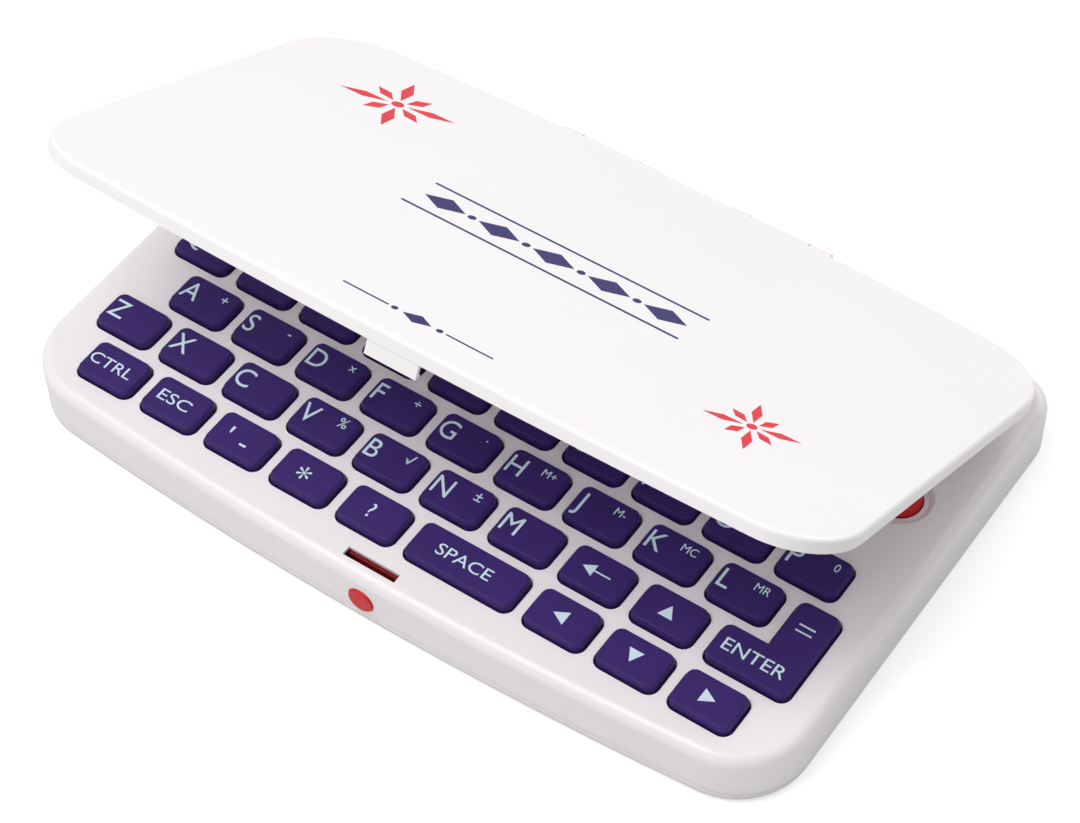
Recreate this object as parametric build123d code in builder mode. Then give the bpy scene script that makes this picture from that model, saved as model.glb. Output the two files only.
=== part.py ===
from build123d import *
from math import atan, cos, degrees, radians, sin
import os

# Pocket electronic dictionary with a hinged lid, in millimetres.
# X runs to the right along the key rows, Y back to the hinge and Z up.
# The origin is the middle of the casing's underside, and the rubber feet reach below it.

# ---- casing ----
case_width = 128.0
case_depth = 85.5
case_height = 9.2
front_bow = 3.2  # how far the front edge bulges in its middle
back_bow = 3.0
front_corner_r = 11.2
back_corner_r = 6.5
floor_t = 1.2
wall_t = 1.8
top_t = 1.4
top_edge_r = 1.7
bottom_edge_r = 0.5
parting_groove = 0.2
lip_t = 0.8  # ring of the lower shell that stands inside the upper one
lip_height = 1.0
lip_gap = 0.1
lip_break = 16.0  # stretch without a lip, at the latch

# ---- keys ----
keys_left = 8.9  # from the casing's left side in to the first row
keys_right = 8.4
keys_front = 6.2
keys_back = 46.5
key_space_x = 1.85  # between neighbouring keys
key_space_y = 1.8
key_corner_r = 1.5
key_rise = 1.2
key_edge_r = 0.35
key_draft = 5.0
key_gap = 0.2  # between a key and its hole
key_travel = 0.8
flange_lip = 0.5
flange_t = 0.6
flange_gap = 0.2
arrow_place = 6.7  # in key pitches from the first key
enter_side = 4.85  # from the casing's right side in to ENTER
enter_extra = 3.5  # that ENTER is wider than a letter key
enter_arm_width = 6.8

# ---- ON button ----
on_side = 9.8  # from the casing's right side in to its middle
on_back = 32.25
on_r = 3.25
on_rise = 0.6
on_edge_r = 0.6
on_gap = 0.2
on_dish_r = 4.9
on_dish_slope = 0.8
on_dish_depth = 0.7

# ---- display ----
window_left = 12.0  # from the casing's left side in to the pane
window_right = 24.0
window_back = 10.25
window_depth = 26.0
window_t = 0.7
window_corner_r = 2.0
window_gap = 0.15
window_ledge = 3.0
panel_margin_x = 2.0  # that the pane reaches past the display glass
panel_margin_y = 1.0
panel_t = 1.6
panel_gap = 0.1
connector_side = 4.0
connector_depth = 1.8
connector_inset = 1.5

# ---- board and rubber mat ----
board_t = 1.0
board_gap = 0.5  # round the board, to the walls
board_latch_gap = 0.35
mat_t = 0.5
mat_margin = 1.5
dome_gap = 0.15
dome_r = 2.6
dome_top_r = 1.7
dome_wall = 0.45
chip_side = 20.0  # from the casing's right side in to its middle
chip_back = 18.75
chip_r = 5.0
chip_t = 1.3
chip_edge_r = 0.9

# ---- coin cells and their compartment ----
cell_r = 10.0
cell_t = 3.2
cell_edge_r = 0.4
cell_pitch = 21.0
cells_x = -8.0
cells_back = 20.75
cell_room = 0.3
cell_gap = 0.05
tray_wall = 2.4
door_t = 1.0
door_ledge = 1.2
door_gap = 0.15
door_tab = 6.0  # extra length that carries the door's screw
groove_width = 0.7
groove_pitch = 1.6
groove_length = 10.0
groove_depth = 0.3
groove_count = 4
contact_t = 0.25
contact_width = 4.0
contact_tip = 4.0
contact_foot = 3.0
link_width = 6.0

# ---- screws and feet ----
screw_side = 5.6  # from the casing's sides and edges in to the screws
screw_back_side = 7.0
screw_front_side = 10.75
screw_middle_side = 41.95  # from the casing's back edge
screw_rear_side = 8.25
shank_r = 0.9
head_r = 1.6
head_t = 0.9
head_sink = 0.1
head_gap = 0.2
shank_gap = 0.1
bore_gap = 0.05
drive_width = 0.5
drive_depth = 0.4
shank_length = 6.1
door_shank_length = 3.0
boss_r = 1.8
boss_gap = 0.05
post_r = 2.6
foot_side = 18.0
foot_front = 9.75
foot_back = 8.75
foot_r = 3.0
foot_t = 1.0
foot_stand = 0.5  # height that the feet lift the casing
foot_gap = 0.1
foot_edge_r = 0.25

# ---- hinge ----
hinge_inset = 0.55  # from the casing's back edge in to the hinge line
hinge_rise = 0.2  # from the casing's top up to the hinge line
barrel_r = 1.0
barrel_gap = 0.3
pin_r = 0.5
pin_seat = 0.02
pin_fit = 0.06  # running clearance of the lid on its pins
knuckle_x = 15.0  # middle of each hinge
lid_knuckle = 10.0
case_knuckle = 3.5
knuckle_gap = 0.3
knuckle_root = 3.2  # how far the casing's knuckles reach down the back wall

# ---- lid ----
lid_open_angle = 26.4
lid_front_inset = 2.25
lid_back_gap = 1.2
lid_front_bow = 1.7
lid_back_bow = 3.8
lid_front_corner_r = 10.9
lid_back_corner_r = 13.4
lid_gap = 0.3  # between the closed lid and the casing's top
lid_t = 2.1
lid_hollow = 1.4
lid_rim = 2.0
lid_edge_r = 0.6

# ---- latch ----
latch_x = 0.6
slot_inset = 2.13  # from the casing's front edge to the slot
slot_length = 8.7
slot_width = 1.5
tab_width = 8.2
tab_t = 0.6
tab_gap = 0.3
hook_reach = 0.4
hook_t = 0.55
hook_drop = 2.0  # from the casing's top down to the hook's underside
catch_gap = 0.1
catch_t = 0.6
catch_bite = 0.25
catch_width = 8.3
catch_room = 0.9  # behind the hook, in front of the catch's wall
catch_wall = 0.4
catch_top_gap = 0.2
catch_side_gap = 0.6
latch_travel = 0.6
latch_block_height = 4.85
latch_block_gap = 0.25
latch_wall_gap = 0.35
latch_button_z = 4.2
latch_button_r = 2.05
latch_button_gap = 0.1
latch_button_rise = 0.35
latch_button_edge_r = 0.3
spring_wire_r = 0.15
spring_coil_r = 0.75
spring_pitch = 0.8
spring_z = 2.55
spring_length = 3.65
spring_gap = 0.05
rib_t = 1.0
rib_width = 5.2
rib_height = 2.2

# ---- places worked out from the sizes above ----
half_width = case_width / 2
front_y = -case_depth / 2
back_y = case_depth / 2
on_x = half_width - on_side
on_y = back_y - on_back
top_under_z = case_height - top_t
flange_top_z = top_under_z - flange_gap
flange_z = flange_top_z - flange_t
key_top_z = case_height + key_rise
dome_height = key_travel + dome_wall
dome_z = flange_z - dome_gap - dome_height
mat_z = dome_z - mat_t
board_z = mat_z - board_t
dome_slope = degrees(atan((dome_r - dome_top_r) / dome_height))

window_x = (window_left - window_right) / 2
window_y = back_y - window_back - window_depth / 2
window_width = case_width - window_left - window_right
panel_width = window_width - 2 * panel_margin_x
panel_depth = window_depth - 2 * panel_margin_y
chip_x = half_width - chip_side
chip_y = back_y - chip_back

cells_y = back_y - cells_back
link_z = door_t
cell_z = link_z + contact_t + cell_gap
tray_top_z = cell_z + cell_t + cell_gap
tray_length = cell_pitch + 2 * cell_r + 2 * cell_room
tray_depth = 2 * cell_r + 2 * cell_room
door_length = tray_length + 2 * door_ledge + door_tab
door_depth = tray_depth + 2 * door_ledge
door_x = cells_x + door_tab / 2
door_screw_x = cells_x + tray_length / 2 + door_ledge + door_tab / 2

hinge_y = back_y - hinge_inset
hinge_z = case_height + hinge_rise
slot_y = front_y + slot_inset
tab_y = slot_y + tab_gap
hook_end_y = tab_y + tab_t + hook_reach
hook_z = case_height - hook_drop
catch_z = hook_z + hook_t + catch_gap
catch_y = hook_end_y - catch_bite
block_y = front_y + wall_t + latch_wall_gap
block_z = floor_t + latch_block_gap
catch_wall_y = hook_end_y + catch_room
block_end_y = catch_wall_y + catch_wall
board_front_y = block_end_y + latch_travel + board_latch_gap

screw_rows = [
    (half_width - screw_side, front_y + screw_front_side),
    (half_width - screw_side, back_y - screw_middle_side),
    (half_width - screw_back_side, back_y - screw_rear_side),
]
screw_places = [(side * x, y) for x, y in screw_rows for side in (-1, 1)]
foot_places = [
    (side * (half_width - foot_side), y)
    for y in (front_y + foot_front, back_y - foot_back)
    for side in (-1, 1)
]
cell_places = [(cells_x + side * cell_pitch / 2, cells_y) for side in (-1, 1)]

# first key's place in pitches, then the names from left to right
key_rows = [
    (0.0, ["ctrl", "esc", "dash", "star", "question"]),
    (-0.31, ["z", "x", "c", "v", "b", "n", "m", "backspace", "up"]),
    (0.25, ["a", "s", "d", "f", "g", "h", "j", "k", "l"]),
    (-0.26, ["q", "w", "e", "r", "t", "y", "u", "i", "o", "p"]),
]
arrow_names = ["left", "down", "right"]
last_sign = len(key_rows[0][1]) - 1
key_pitches = arrow_place + len(arrow_names)
key_pitch_x = (case_width - keys_left - keys_right + key_space_x) / key_pitches
key_pitch_y = (case_depth - keys_front - keys_back + key_space_y) / len(key_rows)
key_width = key_pitch_x - key_space_x
key_depth = key_pitch_y - key_space_y
first_key_x = keys_left + key_width / 2 - half_width
first_row_y = front_y + keys_front + key_depth / 2
row_y = [first_row_y + number * key_pitch_y for number in range(len(key_rows))]

# every key is made of one or two rounded pads: middle x, middle y, width, depth
key_pads = {}
for number, (start, names) in enumerate(key_rows):
    for step, name in enumerate(names):
        key_x = first_key_x + (start + step) * key_pitch_x
        key_pads[name] = [(key_x, row_y[number], key_width, key_depth)]
for step, name in enumerate(arrow_names):
    key_x = first_key_x + (arrow_place + step) * key_pitch_x
    key_pads[name] = [(key_x, row_y[0], key_width, key_depth)]
space_x = first_key_x + (last_sign + arrow_place) / 2 * key_pitch_x
space_width = (arrow_place - last_sign) * key_pitch_x - key_width - 2 * key_space_x
key_pads["space"] = [(space_x, row_y[0], space_width, key_depth)]
enter_width = key_width + enter_extra
enter_right_x = half_width - enter_side
enter_x = enter_right_x - enter_width / 2
enter_arm_x = enter_right_x - enter_arm_width / 2
enter_arm_y = (row_y[1] + row_y[2]) / 2
key_pads["enter"] = [
    (enter_x, row_y[1], enter_width, key_depth),
    (enter_arm_x, enter_arm_y, enter_arm_width, key_depth + key_pitch_y),
]
dome_places = [(pads[0][0], pads[0][1]) for pads in key_pads.values()] + [(on_x, on_y)]

os.makedirs("parts", exist_ok=True)


def bowed_outline(width, front, back, bow_front, bow_back, front_r, back_r, inset=0.0):
    # plan with bowed front and back edges, straight sides and round corners
    half = width / 2
    with BuildSketch(mode=Mode.PRIVATE) as outline:
        with BuildLine():
            ThreePointArc((-half, front + bow_front), (0, front), (half, front + bow_front))
            Line((half, front + bow_front), (half, back - bow_back))
            ThreePointArc((half, back - bow_back), (0, back), (-half, back - bow_back))
            Line((-half, back - bow_back), (-half, front + bow_front))
        make_face()
        fillet(outline.vertices().sort_by(Axis.Y)[:2], front_r)
        fillet(outline.vertices().sort_by(Axis.Y)[-2:], back_r)
        if inset:
            offset(amount=-inset)
    return outline.sketch


def case_outline(inset=0.0):
    return bowed_outline(
        case_width, front_y, back_y, front_bow, back_bow, front_corner_r, back_corner_r, inset
    )


def lid_outline(inset=0.0):
    # measured from the hinge line, as the lid's own plane is
    return bowed_outline(
        case_width,
        front_y + lid_front_inset - hinge_y,
        -barrel_r - lid_back_gap,
        lid_front_bow,
        lid_back_bow,
        lid_front_corner_r,
        lid_back_corner_r,
        inset,
    )


def draw_pads(pads, grow=0.0):
    for x, y, width, depth in pads:
        with Locations((x, y)):
            RectangleRounded(width + 2 * grow, depth + 2 * grow, key_corner_r + grow)


def keep_clear_of_front(edge_y):
    # takes off what lies in front of a line
    with Locations((0, edge_y)):
        Rectangle(
            case_width, case_depth, align=(Align.CENTER, Align.MAX), mode=Mode.SUBTRACT
        )


# ---- upper casing ----
with BuildPart() as top_casing:
    with BuildSketch(Plane.XY.offset(floor_t)):
        add(case_outline())
    extrude(amount=case_height - floor_t)
    fillet(top_casing.faces().sort_by(Axis.Z)[-1].edges(), top_edge_r)
    chamfer(top_casing.faces().sort_by(Axis.Z)[0].edges(), parting_groove)
    # hinge knuckles, each with a root down the back wall
    for side in (-1, 1):
        for end in (-1, 1):
            knuckle_middle = side * knuckle_x + end * (
                lid_knuckle / 2 + knuckle_gap + case_knuckle / 2
            )
            with BuildSketch(Plane.YZ.offset(knuckle_middle)):
                with Locations((hinge_y, hinge_z)):
                    Circle(barrel_r)
                with Locations((hinge_y, hinge_z)):
                    Rectangle(barrel_r, knuckle_root, align=(Align.MAX, Align.MAX))
            extrude(amount=case_knuckle / 2, both=True)
    # notches that the lid's knuckles turn in
    for side in (-1, 1):
        with BuildSketch(Plane.YZ.offset(side * knuckle_x)):
            with Locations((hinge_y, hinge_z)):
                Circle(barrel_r + barrel_gap)
        extrude(amount=lid_knuckle / 2 + knuckle_gap, both=True, mode=Mode.SUBTRACT)
    # inside
    with BuildSketch(Plane.XY.offset(floor_t)):
        add(case_outline(wall_t))
    extrude(amount=top_under_z - floor_t, mode=Mode.SUBTRACT)
    # bosses for the casing screws
    with BuildSketch(Plane.XY.offset(top_under_z)):
        with Locations(*screw_places):
            Circle(boss_r)
    extrude(amount=board_z + board_t + boss_gap - top_under_z)
    with BuildSketch(Plane.XY.offset(board_z + board_t)):
        with Locations(*screw_places):
            Circle(shank_r + bore_gap)
    extrude(
        amount=head_sink + head_t + shank_length + head_gap - board_z - board_t,
        mode=Mode.SUBTRACT,
    )
    # key holes
    with BuildSketch(Plane.XY.offset(top_under_z)):
        for pads in key_pads.values():
            draw_pads(pads, key_gap)
    extrude(amount=top_t, mode=Mode.SUBTRACT)
    # recess and opening of the display window
    with BuildSketch(Plane.XY.offset(case_height)):
        with Locations((window_x, window_y)):
            RectangleRounded(
                window_width + 2 * window_gap,
                window_depth + 2 * window_gap,
                window_corner_r + window_gap,
            )
    extrude(amount=-window_t, mode=Mode.SUBTRACT)
    with BuildSketch(Plane.XY.offset(case_height)):
        with Locations((window_x, window_y)):
            Rectangle(window_width - 2 * window_ledge, window_depth - 2 * window_ledge)
    extrude(amount=-top_t, mode=Mode.SUBTRACT)
    # dish and hole of the ON button
    with BuildSketch(Plane.XY.offset(case_height)):
        with Locations((on_x, on_y)):
            Circle(on_dish_r)
    extrude(
        amount=-on_dish_depth,
        taper=degrees(atan(on_dish_slope / on_dish_depth)),
        mode=Mode.SUBTRACT,
    )
    with BuildSketch(Plane.XY.offset(case_height)):
        with Locations((on_x, on_y)):
            Circle(on_r + on_gap)
    extrude(amount=-top_t, mode=Mode.SUBTRACT)
    # pocket of the latch, its slot and the hole of its button
    with BuildSketch(Plane.XY.offset(top_under_z)):
        with Locations((latch_x, front_y + wall_t)):
            Rectangle(
                catch_width + 2 * catch_side_gap,
                block_end_y + latch_travel + catch_top_gap - front_y - wall_t,
                align=(Align.CENTER, Align.MIN),
            )
    extrude(amount=catch_z + catch_t + catch_top_gap - top_under_z, mode=Mode.SUBTRACT)
    with BuildSketch(Plane.XY.offset(case_height)):
        with Locations((latch_x, slot_y)):
            Rectangle(slot_length, slot_width, align=(Align.CENTER, Align.MIN))
    extrude(amount=-top_t, mode=Mode.SUBTRACT)
    with BuildSketch(Plane.XZ.offset(-front_y)):
        with Locations((latch_x, latch_button_z)):
            Circle(latch_button_r + latch_button_gap)
    extrude(amount=wall_t + front_bow, both=True, mode=Mode.SUBTRACT)
    # bores of the hinge pins
    for side in (-1, 1):
        with BuildSketch(Plane.YZ.offset(side * knuckle_x)):
            with Locations((hinge_y, hinge_z)):
                Circle(pin_r + pin_seat)
        extrude(
            amount=lid_knuckle / 2 + knuckle_gap + case_knuckle, both=True, mode=Mode.SUBTRACT
        )
top_casing.part.label = "top_casing"
export_step(top_casing.part, "parts/top_casing.step")

# ---- lower casing ----
with BuildPart() as bottom_casing:
    with BuildSketch():
        add(case_outline())
    extrude(amount=floor_t)
    fillet(bottom_casing.faces().sort_by(Axis.Z)[0].edges(), bottom_edge_r)
    chamfer(bottom_casing.faces().sort_by(Axis.Z)[-1].edges(), parting_groove)
    # lip inside the upper casing's wall, open at the latch
    with BuildSketch(Plane.XY.offset(floor_t)):
        add(case_outline(wall_t + lip_gap))
        add(case_outline(wall_t + lip_gap + lip_t), mode=Mode.SUBTRACT)
        with Locations((latch_x, front_y)):
            Rectangle(lip_break, 2 * (wall_t + lip_t) + front_bow, mode=Mode.SUBTRACT)
    extrude(amount=lip_height)
    # walls round the coin cells, open above and below
    with BuildSketch(Plane.XY.offset(floor_t)):
        with Locations((door_x, cells_y)):
            Rectangle(tray_length + 2 * tray_wall + door_tab, tray_depth + 2 * tray_wall)
    extrude(amount=tray_top_z - floor_t)
    with BuildSketch():
        with Locations((cells_x, cells_y)):
            SlotCenterToCenter(cell_pitch, tray_depth)
    extrude(amount=tray_top_z, mode=Mode.SUBTRACT)
    with BuildSketch():
        with Locations((door_x, cells_y)):
            Rectangle(door_length + 2 * door_gap, door_depth + 2 * door_gap)
    extrude(amount=door_t, mode=Mode.SUBTRACT)
    with BuildSketch():
        with Locations((door_screw_x, cells_y)):
            Circle(shank_r + bore_gap)
    extrude(amount=head_sink + drive_depth + door_shank_length + head_gap, mode=Mode.SUBTRACT)
    # posts that carry the board, bored for the casing screws
    with BuildSketch(Plane.XY.offset(floor_t)):
        with Locations(*screw_places):
            Circle(post_r)
    extrude(amount=board_z - floor_t)
    with BuildSketch():
        with Locations(*screw_places):
            Circle(head_r + head_gap)
    extrude(amount=head_sink + head_t, mode=Mode.SUBTRACT)
    with BuildSketch():
        with Locations(*screw_places):
            Circle(shank_r + shank_gap)
    extrude(amount=board_z, mode=Mode.SUBTRACT)
    # pockets of the feet
    with BuildSketch():
        with Locations(*foot_places):
            Circle(foot_r + foot_gap)
    extrude(amount=foot_t - foot_stand, mode=Mode.SUBTRACT)
    # rib that the latch spring pushes against
    with BuildSketch(Plane.XY.offset(floor_t)):
        with Locations((latch_x, block_end_y + spring_length)):
            Rectangle(rib_width, rib_t, align=(Align.CENTER, Align.MIN))
    extrude(amount=rib_height)
bottom_casing.part.label = "bottom_casing"
export_step(bottom_casing.part, "parts/bottom_casing.step")

# ---- battery door and the screws ----
with BuildPart() as battery_door:
    with BuildSketch():
        with Locations((door_x, cells_y)):
            Rectangle(door_length, door_depth)
    extrude(amount=door_t)
    with BuildSketch():
        with Locations((door_screw_x, cells_y)):
            Circle(head_r + head_gap)
    extrude(amount=head_sink + drive_depth, mode=Mode.SUBTRACT)
    with BuildSketch():
        with Locations((door_screw_x, cells_y)):
            Circle(shank_r + shank_gap)
    extrude(amount=door_t, mode=Mode.SUBTRACT)
    with BuildSketch():
        with Locations((cells_x - cell_pitch / 2, cells_y)):
            with GridLocations(groove_pitch, groove_length, groove_count, 1):
                Rectangle(groove_width, groove_length)
    extrude(amount=groove_depth, mode=Mode.SUBTRACT)
battery_door.part.label = "battery_door"
export_step(battery_door.part, "parts/battery_door.step")

with BuildPart() as battery_door_screw:
    with BuildSketch(Plane.XY.offset(head_sink)):
        with Locations((door_screw_x, cells_y)):
            Circle(head_r)
    extrude(amount=drive_depth)
    with BuildSketch(Plane.XY.offset(head_sink + drive_depth)):
        with Locations((door_screw_x, cells_y)):
            Circle(shank_r)
    extrude(amount=door_shank_length)
    with BuildSketch(Plane.XY.offset(head_sink)):
        with Locations((door_screw_x, cells_y)):
            Rectangle(2 * head_r, drive_width)
    extrude(amount=drive_depth / 2, mode=Mode.SUBTRACT)
battery_door_screw.part.label = "battery_door_screw"
export_step(battery_door_screw.part, "parts/battery_door_screw.step")

with BuildPart() as casing_screws:
    with BuildSketch(Plane.XY.offset(head_sink)):
        with Locations(*screw_places):
            Circle(head_r)
    extrude(amount=head_t)
    with BuildSketch(Plane.XY.offset(head_sink + head_t)):
        with Locations(*screw_places):
            Circle(shank_r)
    extrude(amount=shank_length)
    with BuildSketch(Plane.XY.offset(head_sink)):
        with Locations(*screw_places):
            Rectangle(head_r, drive_width)
            Rectangle(drive_width, head_r)
    extrude(amount=drive_depth, mode=Mode.SUBTRACT)
casing_screws.part.label = "casing_screws"
export_step(casing_screws.part, "parts/casing_screws.step")

# ---- rubber feet ----
with BuildPart() as rubber_feet:
    with BuildSketch(Plane.XY.offset(-foot_stand)):
        with Locations(*foot_places):
            Circle(foot_r)
    extrude(amount=foot_t)
    fillet(rubber_feet.faces().group_by(Axis.Z)[0].edges(), foot_edge_r)
rubber_feet.part.label = "rubber_feet"
export_step(rubber_feet.part, "parts/rubber_feet.step")

# ---- coin cells and their contacts ----
with BuildPart() as batteries:
    with BuildSketch(Plane.XY.offset(cell_z)):
        with Locations(*cell_places):
            Circle(cell_r)
    extrude(amount=cell_t)
    fillet(batteries.faces().filter_by(GeomType.PLANE).edges(), cell_edge_r)
batteries.part.label = "batteries"
export_step(batteries.part, "parts/batteries.step")

contact_back_y = cells_y + tray_depth / 2 + tray_wall + board_gap + contact_foot
with BuildPart() as battery_contacts:
    # link under both cells
    with BuildSketch(Plane.XY.offset(link_z)):
        with Locations((cells_x, cells_y)):
            Rectangle(cell_pitch, link_width)
    extrude(amount=contact_t)
    # a spring strip from the board's top down on to each cell
    for cell_x, cell_y in cell_places:
        with BuildSketch(Plane.YZ.offset(cell_x)):
            with Locations((cell_y, tray_top_z)):
                Rectangle(contact_tip, contact_t, align=(Align.MIN, Align.MIN))
            with Locations((cell_y + contact_tip, tray_top_z)):
                Rectangle(
                    contact_t,
                    mat_z + contact_t - tray_top_z,
                    align=(Align.MAX, Align.MIN),
                )
            with Locations((contact_back_y, mat_z)):
                Rectangle(
                    contact_back_y - cell_y - contact_tip + contact_t,
                    contact_t,
                    align=(Align.MAX, Align.MIN),
                )
        extrude(amount=contact_width / 2, both=True)
battery_contacts.part.label = "battery_contacts"
export_step(battery_contacts.part, "parts/battery_contacts.step")

# ---- circuit board and its chip ----
with BuildPart() as circuit_board:
    with BuildSketch(Plane.XY.offset(board_z)):
        add(case_outline(wall_t + board_gap))
        keep_clear_of_front(board_front_y)
        with Locations((door_x, cells_y)):
            Rectangle(
                tray_length + 2 * tray_wall + door_tab + 2 * board_gap,
                tray_depth + 2 * tray_wall + 2 * board_gap,
                mode=Mode.SUBTRACT,
            )
        with Locations(*screw_places):
            Circle(shank_r + head_gap, mode=Mode.SUBTRACT)
    extrude(amount=board_t)
circuit_board.part.label = "circuit_board"
export_step(circuit_board.part, "parts/circuit_board.step")

with BuildPart() as controller_chip:
    with BuildSketch(Plane.XY.offset(board_z)):
        with Locations((chip_x, chip_y)):
            Circle(chip_r)
    extrude(amount=-chip_t)
    fillet(controller_chip.faces().sort_by(Axis.Z)[0].edges(), chip_edge_r)
controller_chip.part.label = "controller_chip"
export_step(controller_chip.part, "parts/controller_chip.step")

# ---- rubber mat with a hollow dome under each key ----
mat_back_y = row_y[-1] + key_depth / 2 + mat_margin
with BuildPart() as keypad_mat:
    with BuildSketch(Plane.XY.offset(mat_z)):
        add(case_outline(wall_t + board_gap))
        keep_clear_of_front(board_front_y)
        with Locations((0, mat_back_y)):
            Rectangle(
                case_width, case_depth, align=(Align.CENTER, Align.MIN), mode=Mode.SUBTRACT
            )
        with Locations((on_x, on_y)):
            Circle(on_r + mat_margin)
            Rectangle(2 * on_r, on_y - mat_back_y, align=(Align.CENTER, Align.MAX))
        with Locations(*screw_places):
            Circle(boss_r + head_gap, mode=Mode.SUBTRACT)
    extrude(amount=mat_t)
    with BuildSketch(Plane.XY.offset(dome_z)):
        with Locations(*dome_places):
            Circle(dome_r)
    extrude(amount=dome_height, taper=dome_slope)
    with BuildSketch(Plane.XY.offset(mat_z)):
        with Locations(*dome_places):
            Circle(dome_r - dome_wall)
    extrude(amount=mat_t + dome_height - dome_wall, taper=dome_slope, mode=Mode.SUBTRACT)
keypad_mat.part.label = "keypad_mat"
export_step(keypad_mat.part, "parts/keypad_mat.step")

# ---- display ----
with BuildPart() as display_window:
    with BuildSketch(Plane.XY.offset(case_height - window_t)):
        with Locations((window_x, window_y)):
            RectangleRounded(window_width, window_depth, window_corner_r)
    extrude(amount=window_t)
display_window.part.label = "display_window"
export_step(display_window.part, "parts/display_window.step")

panel_z = top_under_z - panel_gap - panel_t
with BuildPart() as lcd_panel:
    with BuildSketch(Plane.XY.offset(panel_z)):
        with Locations((window_x, window_y)):
            Rectangle(panel_width, panel_depth)
    extrude(amount=panel_t)
lcd_panel.part.label = "lcd_panel"
export_step(lcd_panel.part, "parts/lcd_panel.step")

with BuildPart() as lcd_connector:
    with BuildSketch(Plane.XY.offset(mat_z)):
        with Locations((window_x, window_y - panel_depth / 2 + connector_inset)):
            Rectangle(panel_width - 2 * connector_side, connector_depth)
    extrude(amount=panel_z - mat_z)
lcd_connector.part.label = "lcd_connector"
export_step(lcd_connector.part, "parts/lcd_connector.step")

# ---- keys, each with the flange that holds it under the casing's top ----
for key_name, pads in key_pads.items():
    with BuildPart() as key:
        with BuildSketch(Plane.XY.offset(flange_z)):
            draw_pads(pads, flange_lip)
        extrude(amount=flange_t)
        for pad in pads:
            with BuildSketch(Plane.XY.offset(flange_top_z)):
                draw_pads([pad])
            extrude(amount=key_top_z - flange_top_z, taper=key_draft)
        fillet(key.faces().sort_by(Axis.Z)[-1].edges(), key_edge_r)
    key.part.label = f"key_{key_name}"
    export_step(key.part, f"parts/key_{key_name}.step")

with BuildPart() as on_button:
    with BuildSketch(Plane.XY.offset(flange_z)):
        with Locations((on_x, on_y)):
            Circle(on_r + on_gap + flange_lip)
    extrude(amount=flange_t)
    with BuildSketch(Plane.XY.offset(flange_top_z)):
        with Locations((on_x, on_y)):
            Circle(on_r)
    extrude(amount=case_height + on_rise - flange_top_z)
    fillet(on_button.faces().sort_by(Axis.Z)[-1].edges(), on_edge_r)
on_button.part.label = "on_button"
export_step(on_button.part, "parts/on_button.step")

# ---- latch button, one piece with the block and the catch behind it ----
with BuildPart() as latch_button:
    with BuildSketch(Plane.XZ.offset(-block_y)):
        with Locations((latch_x, latch_button_z)):
            Circle(latch_button_r)
    extrude(amount=block_y - front_y + latch_button_rise)
    fillet(latch_button.faces().sort_by(Axis.Y)[0].edges(), latch_button_edge_r)
    with BuildSketch(Plane.XY.offset(block_z)):
        with Locations((latch_x, block_y)):
            Rectangle(catch_width, block_end_y - block_y, align=(Align.CENTER, Align.MIN))
    extrude(amount=latch_block_height)
    with BuildSketch(Plane.XY.offset(block_z)):
        with Locations((latch_x, catch_wall_y)):
            Rectangle(catch_width, catch_wall, align=(Align.CENTER, Align.MIN))
    extrude(amount=catch_z + catch_t - block_z)
    with BuildSketch(Plane.XY.offset(catch_z)):
        with Locations((latch_x, catch_y)):
            Rectangle(catch_width, block_end_y - catch_y, align=(Align.CENTER, Align.MIN))
    extrude(amount=catch_t)
latch_button.part.label = "latch_button"
export_step(latch_button.part, "parts/latch_button.step")

spring_start_y = block_end_y + spring_gap + spring_wire_r
with BuildPart() as latch_spring:
    with BuildLine():
        coil = Helix(
            pitch=spring_pitch,
            height=spring_length - 2 * (spring_gap + spring_wire_r),
            radius=spring_coil_r,
            center=(latch_x, spring_start_y, spring_z),
            direction=(0, 1, 0),
        )
    with BuildSketch(Plane(origin=coil @ 0, z_dir=coil % 0)):
        Circle(spring_wire_r)
    sweep(is_frenet=True)
latch_spring.part.label = "latch_spring"
export_step(latch_spring.part, "parts/latch_spring.step")

# ---- hinge pins ----
with BuildPart() as hinge_pins:
    for side in (-1, 1):
        with BuildSketch(Plane.YZ.offset(side * knuckle_x)):
            with Locations((hinge_y, hinge_z)):
                Circle(pin_r)
        extrude(amount=lid_knuckle / 2 + knuckle_gap + case_knuckle, both=True)
hinge_pins.part.label = "hinge_pins"
export_step(hinge_pins.part, "parts/hinge_pins.step")

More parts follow.
